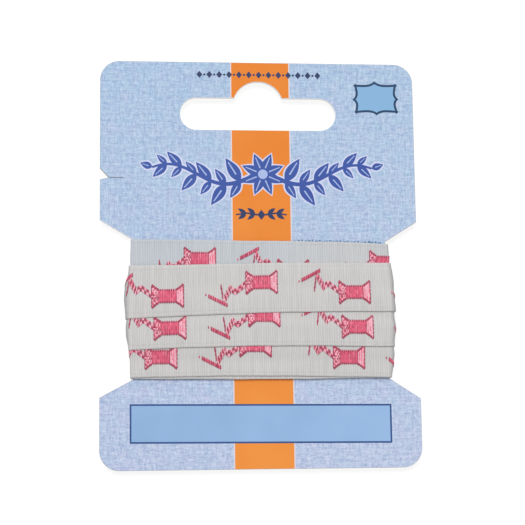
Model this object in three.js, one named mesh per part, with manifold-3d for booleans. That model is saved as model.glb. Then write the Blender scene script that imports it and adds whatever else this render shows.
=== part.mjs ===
// A hang card of cotton ribbon: a die-cut board, waisted at both sides, with a narrow woven ribbon
// wound round the waist, down the card and back up again, so that the bands overlap like shingles.
// Millimetres. X runs across the card, +Y to its hang slot, +Z out of its face. The card lies on its
// back, and the origin is under its middle, on the surface that the winding rests on.

import * as THREE from "three";
import Module from "manifold-3d";
import { mergeVertices } from "three/addons/utils/BufferGeometryUtils.js";

const wasm = await Module();
wasm.setup();

// The board: a head and a foot of full width, with slanted shoulders down to the waist.
const CARD = {
  width: 64.5,
  height: 83,
  thickness: 0.8,
  cornerRadius: 4,
  waistWidth: 51.4,
  headBottom: 8.5,
  waistTop: 4.6,
  waistBottom: -23.9,
  footTop: -27.4,
};

// The hang slot for a display peg: a long round-ended slot with a low dome over its middle. A short
// flat at the dome's crown is where the peg bears.
const SLOT = { length: 32, height: 6.7, centre: 30.65, domeWidth: 9.8, domeHeight: 3.45, crown: 1.2 };

// The nick in the left edge that holds a loose ribbon end: one slanted side, then a fine slit.
const NICK = { top: 19.2, bottom: 16.85, depth: 1.8, slitHeight: 17.25, slitEnd: 4.7, slitWidth: 0.35 };

// The ribbon, and how it lies. Each layer adds its thickness. Where a layer leaves the edge of one
// below it, it comes down over the length of the drape. On the back, the card's weight presses any
// pile of layers down to the height of backLayers.
const RIBBON = { width: 10, thickness: 0.34, gap: 0.3, drape: 2, backLayers: 3 };

// One row for each turn, in the order of winding. left, middle and right are the heights of the
// band's centre line across the front of the card; fan is how much wider it spreads at the left edge.
const TURNS = [
  { left: -0.6, middle: -0.6, right: -1.2, fan: 0 },
  { left: -6.6, middle: -6.8, right: -7.2, fan: 0 },
  { left: -12.9, middle: -13, right: -13.2, fan: 0 },
  { left: -18.5, middle: -18.65, right: -18.75, fan: 0 },
  { left: -18.2, middle: -18.05, right: -18.5, fan: 0 },
  { left: -12.6, middle: -12.1, right: -12.35, fan: 0.03 },
  { left: -6.2, middle: -5.45, right: -5.2, fan: 0.07 },
];

// The two cut ends lie on the back: where each one stops across the card, and how high.
const FIRST_END = { x: 15, height: -1.5 };
const LAST_END = { x: -14, height: -2.6 };

// How finely the winding is divided along each stretch and across the ribbon.
const STEPS = { front: 6, corner: 3, back: 6, across: 8 };
const ARC_STEPS = 5;

// A section's lower and upper side, as shares of the pile's height, and its share of the width: for
// the whole ribbon, and for the smaller tongue that joins one turn to the next.
const WHOLE = { low: 0, high: 1, width: 1 };
const TONGUE = { low: 0.25, high: 0.75, width: 0.9 };

// Each run starts a little inside the clearance, each at its own depth, and the tunnel for the
// board is then cut through all of them.
const INSET = { first: 0.08, each: 0.01 };

const HALF_WAIST = CARD.waistWidth / 2;
const HALF_THICK = CARD.thickness / 2;
const MIDDLE_Z = RIBBON.backLayers * RIBBON.thickness + RIBBON.gap + HALF_THICK;
const LAST_TURN = TURNS.length - 1;

const BOARD_BLUE = 0xb7c5e1;
const COTTON_WHITE = 0xd8d4cf;

// The board's outline, anticlockwise from the foot's lower right corner.
function boardOutline() {
  const halfWidth = CARD.width / 2;
  const halfHeight = CARD.height / 2;
  const r = CARD.cornerRadius;
  const slitTop = NICK.slitHeight + NICK.slitWidth / 2;
  const slitBottom = NICK.slitHeight - NICK.slitWidth / 2;
  const shape = new THREE.Shape();
  shape.absarc(halfWidth - r, r - halfHeight, r, -Math.PI / 2, 0);
  shape.lineTo(halfWidth, CARD.footTop);
  shape.lineTo(HALF_WAIST, CARD.waistBottom);
  shape.lineTo(HALF_WAIST, CARD.waistTop);
  shape.lineTo(halfWidth, CARD.headBottom);
  shape.absarc(halfWidth - r, halfHeight - r, r, 0, Math.PI / 2);
  shape.absarc(r - halfWidth, halfHeight - r, r, Math.PI / 2, Math.PI);
  shape.lineTo(-halfWidth, NICK.top);
  shape.lineTo(NICK.depth - halfWidth, slitTop);
  shape.lineTo(NICK.slitEnd - halfWidth, slitTop);
  shape.lineTo(NICK.slitEnd - halfWidth, slitBottom);
  shape.lineTo(NICK.depth - halfWidth, slitBottom);
  shape.lineTo(-halfWidth, NICK.bottom);
  shape.lineTo(-halfWidth, CARD.headBottom);
  shape.lineTo(-HALF_WAIST, CARD.waistTop);
  shape.lineTo(-HALF_WAIST, CARD.waistBottom);
  shape.lineTo(-halfWidth, CARD.footTop);
  shape.absarc(r - halfWidth, r - halfHeight, r, Math.PI, Math.PI * 1.5);
  return shape;
}

// The slot's hole. The dome is the arc through its own width and height.
function slotHole() {
  const r = SLOT.height / 2;
  const end = SLOT.length / 2 - r;
  const top = SLOT.centre + r;
  const halfDome = SLOT.domeWidth / 2;
  const domeRadius = (halfDome ** 2 + SLOT.domeHeight ** 2) / (2 * SLOT.domeHeight);
  const domeCentre = top + SLOT.domeHeight - domeRadius;
  const domeStart = Math.atan2(top - domeCentre, halfDome);
  const crownStart = Math.acos(SLOT.crown / 2 / domeRadius);
  const hole = new THREE.Path();
  hole.absarc(end, SLOT.centre, r, -Math.PI / 2, Math.PI / 2);
  hole.absarc(0, domeCentre, domeRadius, domeStart, crownStart);
  hole.absarc(0, domeCentre, domeRadius, Math.PI - crownStart, Math.PI - domeStart);
  hole.absarc(-end, SLOT.centre, r, Math.PI / 2, Math.PI * 1.5);
  return hole;
}

function board() {
  const shape = boardOutline();
  shape.holes.push(slotHole());
  const flat = { depth: CARD.thickness, bevelEnabled: false, curveSegments: ARC_STEPS };
  const geometry = new THREE.ExtrudeGeometry(shape, flat);
  geometry.translate(0, 0, MIDDLE_Z - HALF_THICK);
  return geometry;
}

// The winding is a chain of runs: a back run for the first cut end, then for each turn a wrap over the
// left edge, the front and the right edge, and a back run that leads to the next turn.
const lerp = THREE.MathUtils.lerp;
const smooth = (value) => THREE.MathUtils.smoothstep(value, 0, 1);

// A curve through three heights, at the left edge, in the middle and at the right edge.
function frontHeight(turn, across) {
  const bow = turn.middle - (turn.left + turn.right) / 2;
  return lerp(turn.left, turn.right, across) + bow * 4 * across * (1 - across);
}

// Where run number k of a face lies at x: its centre height and half width. Back run 0 is the
// first cut end, which comes before turn 0, and back run k + 1 follows turn k.
function band(face, k, x) {
  const across = (x + HALF_WAIST) / CARD.waistWidth;
  const spread = (turn) => (RIBBON.width / 2) * (1 + turn.fan * (1 - across) ** 3);
  if (face !== "back") {
    return { height: frontHeight(TURNS[k], across), half: spread(TURNS[k]) };
  }
  const from = k === 0 ? FIRST_END : { x: HALF_WAIST, height: TURNS[k - 1].right };
  const to = k > LAST_TURN ? LAST_END : { x: -HALF_WAIST, height: TURNS[k].left };
  const half = k > LAST_TURN ? RIBBON.width / 2 : spread(TURNS[k]);
  return { height: lerp(from.height, to.height, (x - from.x) / (to.x - from.x)), half };
}

// How far run k lies over the point: 1 on the band, falling to 0 over the drape beyond its edge.
function cover(face, k, x, y) {
  const { height, half } = band(face, k, x);
  const beside = Math.abs(y - height) - half;
  let beyond = -Infinity;
  if (face === "back" && k === 0) beyond = x - FIRST_END.x;
  if (face === "back" && k > LAST_TURN) beyond = LAST_END.x - x;
  return smooth(1 - beside / RIBBON.drape) * smooth(1 - beyond / RIBBON.drape);
}

// The height of run k's outer side above the card's clearance: one thickness for itself and one
// for each run below it. pressed goes from 0 on the front to 1 on the back.
function pileHeight(face, k, x, y, pressed) {
  const runs = face === "back" ? TURNS.length + 1 : TURNS.length;
  let below = 0;
  let above = 0;
  for (let other = 0; other < runs; other += 1) {
    if (other < k) below += cover(face, other, x, y);
    if (other > k) above += cover(face, other, x, y);
  }
  const squeeze = Math.min(1, RIBBON.backLayers / (below + 1 + above));
  return RIBBON.thickness * (1 + below) * lerp(1, squeeze, pressed);
}

// The places along one run where its section is drawn, each with a point on the clearance round
// the board's edge and the direction out of it. A fold turns about the board's two edge corners.
function foldPlaces(k, side) {
  const places = [];
  for (const upper of [true, false]) {
    for (let i = 0; i <= STEPS.corner; i += 1) {
      const angle = (Math.PI / 2) * ((upper ? 1 : 0) - i / STEPS.corner);
      const normal = [side * Math.cos(angle), Math.sin(angle)];
      const corner = [side * HALF_WAIST, upper ? HALF_THICK : -HALF_THICK];
      const pressed = 0.5 - angle / Math.PI;
      places.push({ face: "fold", k, x: corner[0], corner, normal, pressed });
    }
  }
  return side > 0 ? places : places.reverse();
}

function flatPlaces(face, k, from, to, steps) {
  const up = face === "front" ? 1 : -1;
  const places = [];
  for (let i = 0; i <= steps; i += 1) {
    const x = lerp(from, to, i / steps);
    places.push({ face, k, x, corner: [x, up * HALF_THICK], normal: [0, up], pressed: (1 - up) / 2 });
  }
  return places;
}

// A wrap is the part of a turn that shows: in over the left edge, across the front, over the right edge.
function wrapPlaces(k) {
  const front = flatPlaces("front", k, -HALF_WAIST, HALF_WAIST, STEPS.front);
  return [...foldPlaces(k, -1), ...front.slice(1, -1), ...foldPlaces(k, 1)];
}

function backPlaces(k) {
  const from = k === 0 ? FIRST_END.x : HALF_WAIST;
  const to = k > LAST_TURN ? LAST_END.x : -HALF_WAIST;
  return flatPlaces("back", k, from, to, STEPS.back);
}

// One section of the ribbon at a place: a row of points on its inner side, then a row on its outer side.
function section(place, extent, inset) {
  const { height, half } = band(place.face, place.k, place.x);
  const inner = [];
  const outer = [];
  for (let i = 0; i <= STEPS.across; i += 1) {
    const y = height + extent.width * half * ((2 * i) / STEPS.across - 1);
    const pile = pileHeight(place.face, place.k, place.x, y, place.pressed);
    const innerOut = RIBBON.gap - inset + extent.low * pile;
    const outerOut = RIBBON.gap + extent.high * pile;
    for (const [row, out] of [[inner, innerOut], [outer, outerOut]]) {
      const x = place.corner[0] + place.normal[0] * out;
      const z = place.corner[1] + place.normal[1] * out + MIDDLE_Z;
      row.push(x, y, z);
    }
  }
  return [...inner, ...outer];
}

// A wrap's sections, and a back run's, which reach into the wraps before and after it as tongues, so
// that they join as one. Each is filled from its own inset outwards.
function wrapSections(k, inset) {
  return wrapPlaces(k).map((place) => section(place, WHOLE, inset));
}

function backSections(k, inset) {
  const sections = backPlaces(k).map((place) => section(place, WHOLE, inset));
  if (k > 0) sections.unshift(section(foldPlaces(k - 1, 1).at(-2), TONGUE, 0));
  if (k <= LAST_TURN) sections.push(section(foldPlaces(k, -1)[1], TONGUE, 0));
  return sections;
}

// A closed solid through a row of sections.
function loft(sections) {
  const row = STEPS.across + 1;
  const ring = row * 2;
  const index = [];
  const quad = (a, b, c, d) => index.push(a, b, c, a, c, d);
  for (let s = 0; s + 1 < sections.length; s += 1) {
    const here = s * ring;
    const next = here + ring;
    for (let i = 0; i + 1 < row; i += 1) {
      quad(here + i, here + i + 1, next + i + 1, next + i);
      quad(here + row + i, next + row + i, next + row + i + 1, here + row + i + 1);
    }
    quad(here, next, next + row, here + row);
    quad(here + row - 1, here + ring - 1, next + ring - 1, next + row - 1);
  }
  const last = (sections.length - 1) * ring;
  for (let i = 0; i + 1 < row; i += 1) {
    quad(i, row + i, row + i + 1, i + 1);
    quad(last + i, last + i + 1, last + row + i + 1, last + row + i);
  }
  const geometry = new THREE.BufferGeometry();
  geometry.setAttribute("position", new THREE.Float32BufferAttribute(sections.flat(), 3));
  geometry.setIndex(index);
  return geometry;
}

function toManifold(geometry) {
  const merged = mergeVertices(geometry);
  const vertProperties = new Float32Array(merged.attributes.position.array);
  const triVerts = new Uint32Array(merged.index.array);
  return new wasm.Manifold(new wasm.Mesh({ numProp: 3, vertProperties, triVerts }));
}

function fromManifold(solid) {
  const mesh = solid.getMesh();
  const geometry = new THREE.BufferGeometry();
  geometry.setAttribute("position", new THREE.BufferAttribute(mesh.vertProperties, 3));
  geometry.setIndex(new THREE.BufferAttribute(mesh.triVerts, 1));
  geometry.computeVertexNormals();
  return geometry;
}

// The space that the board's waist takes up, with the clearance round it.
function tunnel() {
  const shape = new THREE.Shape();
  const quarter = Math.PI / 2;
  shape.absarc(HALF_WAIST, HALF_THICK, RIBBON.gap, 0, quarter);
  shape.absarc(-HALF_WAIST, HALF_THICK, RIBBON.gap, quarter, 2 * quarter);
  shape.absarc(-HALF_WAIST, -HALF_THICK, RIBBON.gap, 2 * quarter, 3 * quarter);
  shape.absarc(HALF_WAIST, -HALF_THICK, RIBBON.gap, 3 * quarter, 4 * quarter);
  const long = { depth: CARD.height, bevelEnabled: false, curveSegments: STEPS.corner };
  const geometry = new THREE.ExtrudeGeometry(shape, long);
  geometry.rotateX(quarter);
  geometry.translate(0, CARD.height / 2, MIDDLE_Z);
  geometry.deleteAttribute("normal");
  geometry.deleteAttribute("uv");
  return geometry;
}

// All the runs joined, so that each band's edge stands as a step on the bands below it.
function winding() {
  const runs = [backSections(0, INSET.first)];
  for (let k = 0; k <= LAST_TURN; k += 1) {
    runs.push(wrapSections(k, INSET.first + INSET.each * runs.length));
    runs.push(backSections(k + 1, INSET.first + INSET.each * runs.length));
  }
  const solids = runs.map((sections) => toManifold(loft(sections)));
  const joined = solids.reduce((sum, solid) => sum.add(solid));
  return fromManifold(joined.subtract(toManifold(tunnel())));
}

function piece(name, geometry, color, roughness) {
  const material = new THREE.MeshStandardMaterial({ color, roughness, metalness: 0 });
  const mesh = new THREE.Mesh(geometry, material);
  mesh.name = name;
  return mesh;
}

const ribbonCard = new THREE.Group();
ribbonCard.add(piece("card", board(), BOARD_BLUE, 0.6));
ribbonCard.add(piece("ribbon", winding(), COTTON_WHITE, 0.85));

export default ribbonCard;
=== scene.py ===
# %% [markdown]
# # A card of cotton ribbon
#
# A haberdasher's hang card: a printed board with a narrow waist, and a length of woven cotton ribbon
# wound round that waist. The card lies on its back, and the camera looks at its face.
#
# The solids of the part come in as a fixed frame. This lesson gives them their finish: a printed board
# with clean cut edges, one long strip of cloth that really is wound turn by turn, and the little pink
# thread reels that are woven into it. Lengths are in millimetres until a mesh is made.

# %% Load the fixed frame
import bisect
import math
import random
from collections import namedtuple

import bpy
from mathutils import Matrix, Vector
from mathutils.geometry import delaunay_2d_cdt


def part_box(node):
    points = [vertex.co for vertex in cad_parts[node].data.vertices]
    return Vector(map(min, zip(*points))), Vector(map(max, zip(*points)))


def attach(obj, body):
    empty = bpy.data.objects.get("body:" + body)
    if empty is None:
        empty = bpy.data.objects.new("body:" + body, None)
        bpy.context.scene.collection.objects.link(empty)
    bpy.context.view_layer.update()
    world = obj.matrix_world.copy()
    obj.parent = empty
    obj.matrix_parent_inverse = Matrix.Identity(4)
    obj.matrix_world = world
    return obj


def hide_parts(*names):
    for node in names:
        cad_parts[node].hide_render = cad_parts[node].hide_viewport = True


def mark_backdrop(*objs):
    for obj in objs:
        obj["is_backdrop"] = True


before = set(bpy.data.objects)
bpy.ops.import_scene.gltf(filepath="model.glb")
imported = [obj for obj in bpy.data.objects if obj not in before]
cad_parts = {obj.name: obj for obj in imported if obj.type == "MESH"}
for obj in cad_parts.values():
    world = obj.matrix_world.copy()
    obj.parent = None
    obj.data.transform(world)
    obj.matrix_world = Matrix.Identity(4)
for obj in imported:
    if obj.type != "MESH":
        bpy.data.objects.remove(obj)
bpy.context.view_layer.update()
MM = 0.001

card_low, card_high = (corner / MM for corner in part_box("card"))
CARD_WIDTH = card_high.x - card_low.x
CARD_HEIGHT = card_high.y - card_low.y
CARD_BACK = card_low.z
CARD_FACE = card_high.z
print(f"card {CARD_WIDTH:.1f} x {CARD_HEIGHT:.1f} mm, its face {CARD_FACE:.2f} mm above the table")

# %% [markdown]
# ## The camera
#
# The card is seen almost square on, from a little below and to the left of its middle. A camera can be
# aimed at a target, but here three small turns of the card and its distance say the same thing more
# exactly: they were worked out from where the card's corners fall in the picture.

# %% Place the camera
CARD_TURN = {"Z": 0.761, "X": -8.125, "Y": 5.666}
CARD_OFFSET = Vector((-0.494, 0.092, -297.7))
LENS = 100.95
SENSOR = 36


def place_camera():
    turns = [Matrix.Rotation(math.radians(angle), 3, axis) for axis, angle in CARD_TURN.items()]
    to_camera = turns[0] @ turns[1] @ turns[2]
    to_card = to_camera.transposed()
    eye = to_card @ -CARD_OFFSET + Vector((0, 0, CARD_FACE))
    data = bpy.data.cameras.new("camera")
    data.lens = LENS
    data.sensor_width = SENSOR
    data.clip_start = 0.01
    camera = bpy.data.objects.new("camera", data)
    bpy.context.scene.collection.objects.link(camera)
    camera.matrix_world = Matrix.Translation(eye * MM) @ to_card.to_4x4()
    bpy.context.scene.camera = camera
    return camera


camera = place_camera()
print("camera at", tuple(round(value, 4) for value in camera.matrix_world.translation))

# %% [markdown]
# ## Writing materials as sums
#
# A material is a tree of nodes, and most of its nodes are arithmetic. Clicking or coding them one by one
# hides the idea, so a small class wraps a socket: adding or multiplying two wires adds the Math node and
# its links. One method makes every other kind of node. Geometry trees use the same method.


# %% A wire that can be added and multiplied
class Wiring:
    """A node tree, with one way to add a node: its type, its settings, then its sockets."""

    def __init__(self, tree):
        self.tree = tree

    def node(self, kind, settings=None, inputs=None, output=0):
        made = self.tree.nodes.new(kind)
        for name, value in (settings or {}).items():
            setattr(made, name, value)
        for name, value in (inputs or {}).items():
            self.connect(value, made.inputs[name])
        return Wire(self, made.outputs[output])

    def connect(self, value, socket):
        if isinstance(value, Wire):
            self.tree.links.new(value.socket, socket)
        else:
            socket.default_value = value


class Wire:
    """An output socket that Python's operators work on."""

    def __init__(self, wiring, socket):
        self.wiring = wiring
        self.socket = socket

    def math(self, operation, *values):
        inputs = dict(enumerate((self, *values)))
        return self.wiring.node("ShaderNodeMath", {"operation": operation}, inputs)

    def __add__(self, other):
        return self.math("ADD", other)

    def __sub__(self, other):
        return self.math("SUBTRACT", other)

    def __rsub__(self, other):
        return self.math("MULTIPLY_ADD", -1, other)

    def __mul__(self, other):
        return self.math("MULTIPLY", other)

    __radd__ = __add__
    __rmul__ = __mul__

    def __abs__(self):
        return self.math("ABSOLUTE")

    def sine(self):
        return self.math("SINE")

    def between(self, low, high):
        """0 below low, 1 above high, and a soft step from one to the other."""
        inputs = {"Value": self, "From Min": low, "From Max": high}
        return self.wiring.node("ShaderNodeMapRange", {"interpolation_type": "SMOOTHSTEP"}, inputs)

    def part(self, name):
        return Wire(self.wiring, self.socket.node.outputs[name])


def srgb(red, green, blue):
    """A colour as a picture shows it, from 0 to 255, as the linear colour that a shader takes."""
    shares = (value / 255 for value in (red, green, blue))
    linear = [share / 12.92 if share <= 0.04045 else ((share + 0.055) / 1.055) ** 2.4 for share in shares]
    return (*linear, 1)


class Finish(Wiring):
    """A material round one Principled shader. Constants go straight on to the shader's sockets."""

    def __init__(self, name, constants):
        self.material = bpy.data.materials.new(name)
        self.material.use_nodes = True
        super().__init__(self.material.node_tree)
        self.shader = self.tree.nodes["Principled BSDF"]
        self.feed(constants)

    def feed(self, inputs):
        for name, value in inputs.items():
            self.connect(value, self.shader.inputs[name])

    def place(self):
        """The x, y and z of the surface in millimetres."""
        coordinates = self.node("ShaderNodeTexCoord", output="Object")
        scaled = self.node("ShaderNodeVectorMath", {"operation": "SCALE"}, {0: coordinates, "Scale": 1 / MM})
        split = self.node("ShaderNodeSeparateXYZ", inputs={0: scaled})
        return split, split.part("Y"), split.part("Z")

    def noise(self, x, y, z, detail=2):
        """Soft random values from 0 to 1. The coordinates' own scale sets the size of the grain."""
        spot = self.node("ShaderNodeCombineXYZ", inputs={"X": x, "Y": y, "Z": z})
        return self.node("ShaderNodeTexNoise", inputs={"Vector": spot, "Scale": 1, "Detail": detail})

    def blend(self, share, first, second):
        inputs = {"Factor": share, 6: first, 7: second}
        return self.node("ShaderNodeMix", {"data_type": "RGBA"}, inputs, output=2)

    def relief(self, height, depth):
        """A Bump whose height of 0 to 1 stands for a depth in millimetres."""
        self.feed({"Normal": self.node("ShaderNodeBump", inputs={"Height": height, "Distance": depth * MM})})


print("shader helpers ready")

# %% [markdown]
# ## The finish of the board
#
# The card is grey-white board with a satin coating, printed with flat inks. Most of its face carries a
# tint that imitates linen: pale threads that run up and across, each a little thicker or thinner along
# its length, with slubs and a faint check where they cross. A picture of linen could be wrapped on it, but
# two stretched noises, one for each direction, give the same crossing threads at the true scale, and they
# never repeat. The tint and some inks grow a little paler across or down the card, because a press never
# inks a sheet quite evenly.

# %% Inks and board
SATIN = {"Specular IOR Level": 0.35}
SATIN_ROUGHNESS = 0.46
GRAIN_SIZE = 0.16
GRAIN_SHARE = 0.5
DRIFT_SCALE = 0.12
DRIFT_SHARE = 0.9
INK_TONE = 0.45
PAPER_DEPTH = 0.006
LINEN_THREAD = 0.36
LINEN_LENGTH = 1.5
LINEN_CHECK = 1.19
LINEN_SLUB = 0.3
LINEN_FADE = {"right": 0.0012, "down": 0.0018}


def printed_ink(name, colour, paler, right=0, down=0):
    """Flat ink on board: fine grain, a slow drift of tone, and a fade for each millimetre right or down."""
    finish = Finish(name, SATIN)
    x, y, z = finish.place()
    grain = finish.noise(x * (1 / GRAIN_SIZE), y * (1 / GRAIN_SIZE), z, detail=1)
    drift = finish.noise(x * DRIFT_SCALE, y * DRIFT_SCALE, z)
    share = (grain - 0.5) * GRAIN_SHARE + (drift - 0.5) * DRIFT_SHARE + INK_TONE + x * right - y * down
    finish.feed({"Base Color": finish.blend(share, srgb(*colour), srgb(*paler))})
    finish.feed({"Roughness": grain * 0.12 + SATIN_ROUGHNESS})
    finish.relief(grain, PAPER_DEPTH)
    return finish.material


def linen_tint():
    finish = Finish("linen_tint", SATIN)
    x, y, z = finish.place()
    fine = 1 / LINEN_THREAD
    slow = 1 / LINEN_LENGTH
    small = 1 / LINEN_SLUB
    upright = finish.noise(x * fine, y * slow, z + 3, detail=3).between(0.3, 0.7)
    level = finish.noise(x * slow, y * fine, z + 11, detail=3).between(0.3, 0.7)
    slub = finish.noise(x * small, y * small, z, detail=1).between(0.3, 0.7)
    wobble = finish.noise(x * 0.6, y * 0.6, z + 30) * 0.8
    turn = 2 * math.pi / LINEN_CHECK
    check = ((x + wobble) * turn).sine() + ((y + wobble) * turn).sine()
    fade = x * LINEN_FADE["right"] - y * LINEN_FADE["down"]
    threads = (upright + level) * 0.37 + slub * 0.32 + check * 0.042 + fade - 0.04
    cool = (finish.noise(x * 0.35, y * 0.35, z + 20) - 0.5) * 1.7 + y * 0.009 + 0.5
    lilac = finish.blend(threads, srgb(150, 167, 206), srgb(210, 218, 240))
    azure = finish.blend(threads, srgb(140, 170, 206), srgb(199, 221, 240))
    finish.feed({"Base Color": finish.blend(cool, lilac, azure)})
    finish.feed({"Roughness": threads * 0.1 + SATIN_ROUGHNESS})
    finish.relief(threads, PAPER_DEPTH)
    return finish.material


def board_edge(name, colour, paler):
    """A cut edge: grey-white paper, pressed from thin layers."""
    finish = Finish(name, {"Roughness": 0.85, "Specular IOR Level": 0.2})
    x, y, z = finish.place()
    layers = finish.noise(x * 0.8, y * 0.8, z * 14)
    fibre = finish.noise(x * 5, y * 5, z * 9)
    share = layers * 0.6 + fibre * 0.4
    finish.feed({"Base Color": finish.blend(share, srgb(*colour), srgb(*paler))})
    finish.relief(share, 0.03)
    return finish.material


def board_back():
    """The bare back: uncoated board with short fibres and faint cloudy patches."""
    finish = Finish("board_back", {"Roughness": 0.88, "Specular IOR Level": 0.2})
    x, y, z = finish.place()
    fibre = finish.noise(x * 3.1, y * 7, z, detail=4)
    cloud = finish.noise(x * 0.2, y * 0.2, z + 5)
    share = fibre * 0.45 + cloud * 0.55
    finish.feed({"Base Color": finish.blend(share, srgb(205, 202, 196), srgb(232, 230, 225))})
    finish.relief(fibre, 0.012)
    return finish.material


INKS = {
    "stripe": ("orange_ink", (232, 127, 4), (241, 147, 56), 0, 0.012),
    "stripe_line": ("bare_line", (214, 206, 214), (232, 222, 224)),
    "panel": ("panel_ink", (138, 175, 217), (155, 189, 231), 0.0114),
    "panel_line": ("cobalt_ink", (32, 70, 130), (46, 84, 144)),
    "dash": ("dark_dash_marks", (84, 124, 164), (102, 140, 178)),
    "line": ("navy_ink", (2, 52, 92), (12, 62, 104)),
    "label": ("label_ink", (129, 175, 217), (136, 182, 220)),
    "halo": ("lilac_ink", (205, 210, 240), (218, 221, 244)),
    "leaf": ("blue_ink", (42, 74, 156), (52, 86, 168)),
    "vein": ("pale_ink", (160, 180, 228), (176, 192, 234)),
    "dark": ("indigo_ink", (26, 42, 88), (38, 54, 100)),
}
# The same cut edge in two tones: the grey one is partly painted shade on the cut edges, the white one is
# painted light on the slot and the upper left shoulder.
EDGES = {
    "edge": ("board_edge", (136, 138, 150), (190, 190, 198)),
    "painted_light_edge": ("white_edge_painted_light", (222, 222, 226), (248, 248, 248)),
}
BOARD_FINISHES = {"linen": linen_tint()}
BOARD_FINISHES |= {name: printed_ink(*ink) for name, ink in INKS.items()}
BOARD_FINISHES |= {name: board_edge(*tones) for name, tones in EDGES.items()}
BOARD_FINISHES["back"] = board_back()
print(len(BOARD_FINISHES), "finishes for the board")

# %% [markdown]
# ## The outline of the board
#
# A steel rule die cuts the board in one stroke: round outer corners, slanted shoulders, a narrow waist for
# the ribbon, a nick in the left edge for its loose end, and a slot for a display peg. The left and right
# shoulders differ by a fraction of a millimetre, as they do on the real card. The outline could be a filled
# curve, but a plain list of points can also trim the print. Only the corner points are given here. Arcs
# fill in the round stretches.

# %% Draw the die's outline
CORNER_RADIUS = 4
HALF_WAIST = 25.7
SHOULDERS = {"left": (8.5, 4.6, -23.6, -27.1), "right": (8.3, 4.2, -23.5, -27.75)}
SLOT = {"length": 32, "height": 6.7, "centre": 30.65, "dome_width": 9.8, "dome_height": 3.45, "crown": 1.2}
NICK = {"top": 19.2, "bottom": 16.85, "depth": 1.8, "slit": 17.25, "slit_end": 4.7, "slit_width": 0.05}
CORNER_STEPS = 12


def arc(centre, radius, start, end, steps):
    """Points on a circle from one angle to another, in degrees."""
    angles = [math.radians(start + (end - start) * i / steps) for i in range(steps + 1)]
    return [(centre[0] + radius * math.cos(a), centre[1] + radius * math.sin(a)) for a in angles]


def board_outline():
    """Anticlockwise from the foot's lower right corner."""
    half_width = CARD_WIDTH / 2
    half_height = CARD_HEIGHT / 2
    r = CORNER_RADIUS
    slit_top = NICK["slit"] + NICK["slit_width"] / 2
    slit_bottom = NICK["slit"] - NICK["slit_width"] / 2
    points = arc((half_width - r, r - half_height), r, -90, 0, CORNER_STEPS)
    across = (half_width, HALF_WAIST, HALF_WAIST, half_width)
    points += list(zip(across, SHOULDERS["right"]))[::-1]
    points += arc((half_width - r, half_height - r), r, 0, 90, CORNER_STEPS)
    points += arc((r - half_width, half_height - r), r, 90, 180, CORNER_STEPS)
    points += [(-half_width, NICK["top"]), (NICK["depth"] - half_width, slit_top)]
    points += [(NICK["slit_end"] - half_width, slit_top), (NICK["slit_end"] - half_width, slit_bottom)]
    points += [(NICK["depth"] - half_width, slit_bottom), (-half_width, NICK["bottom"])]
    points += [(-x, y) for x, y in zip(across, SHOULDERS["left"])]
    points += arc((r - half_width, r - half_height), r, 180, 270, CORNER_STEPS)
    return points


def slot_outline():
    """A long round-ended slot with a low dome over its middle, anticlockwise."""
    r = SLOT["height"] / 2
    end = SLOT["length"] / 2 - r
    top = SLOT["centre"] + r
    half_dome = SLOT["dome_width"] / 2
    radius = (half_dome**2 + SLOT["dome_height"] ** 2) / (2 * SLOT["dome_height"])
    centre = (0, top + SLOT["dome_height"] - radius)
    start = math.degrees(math.atan2(top - centre[1], half_dome))
    crown = math.degrees(math.acos(SLOT["crown"] / 2 / radius))
    points = arc((end, SLOT["centre"]), r, -90, 90, CORNER_STEPS)
    points += arc(centre, radius, start, crown, CORNER_STEPS)
    points += arc(centre, radius, 180 - crown, 180 - start, CORNER_STEPS)
    points += arc((-end, SLOT["centre"]), r, 90, 270, 2 * CORNER_STEPS)
    return points


def moved_in(points, amount):
    """A closed outline with every side moved to its left by the amount."""
    moved = []
    for i, here in enumerate(points):
        before = Vector(points[i - 1])
        after = Vector(points[(i + 1) % len(points)])
        here = Vector(here)
        arrive = (here - before).normalized()
        leave = (after - here).normalized()
        sideways = Vector((-arrive.y - leave.y, arrive.x + leave.x))
        moved.append(tuple(here + sideways * (amount / (1 + arrive.dot(leave)))))
    return moved


print(len(board_outline()), "points round the board,", len(slot_outline()), "round the slot")

# %% [markdown]
# ## The print
#
# On the tint the card has one orange stripe from top to bottom, an empty panel at the foot and an empty
# label at the head, both with a dark line round them, an ornament of leaves and a blossom, and a fine broken
# line that just shows above the ribbon. The panel is a touch out of square with the board, because print
# and die never line up quite. Ink has no height, so the print could be one picture. Here each shape is an
# outline on the face itself, and its faces take their own ink. The edges then stay sharp however close the
# camera comes.


# %% Shapes for the print
def lerp(first, second, share):
    return first + (second - first) * share


def rectangle(left, bottom, right, top):
    return [(left, bottom), (right, bottom), (right, top), (left, top)]


def disc(centre, radius):
    return arc(centre, radius, 0, 337.5, 15)


def lozenge(centre, width, height):
    x, y = centre
    return [(x - width / 2, y), (x, y - height / 2), (x + width / 2, y), (x, y + height / 2)]


def heading(angle):
    """A step of length 1 along an angle in degrees."""
    return Vector((math.cos(math.radians(angle)), math.sin(math.radians(angle))))


def leaf(foot, angle, length, width, grow=0, steps=9):
    """A pointed leaf from its foot along an angle in degrees."""
    along = heading(angle)
    beside = Vector((-along.y, along.x))
    lower, upper = [], []
    for i in range(steps + 1):
        share = i / steps
        spine = Vector(foot) + along * (share * (length + 2 * grow) - grow)
        half = (width / 2 + grow) * math.sin(math.pi * share**0.8)
        lower.append(tuple(spine - beside * half))
        upper.append(tuple(spine + beside * half))
    return lower + upper[-2:0:-1]


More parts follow.
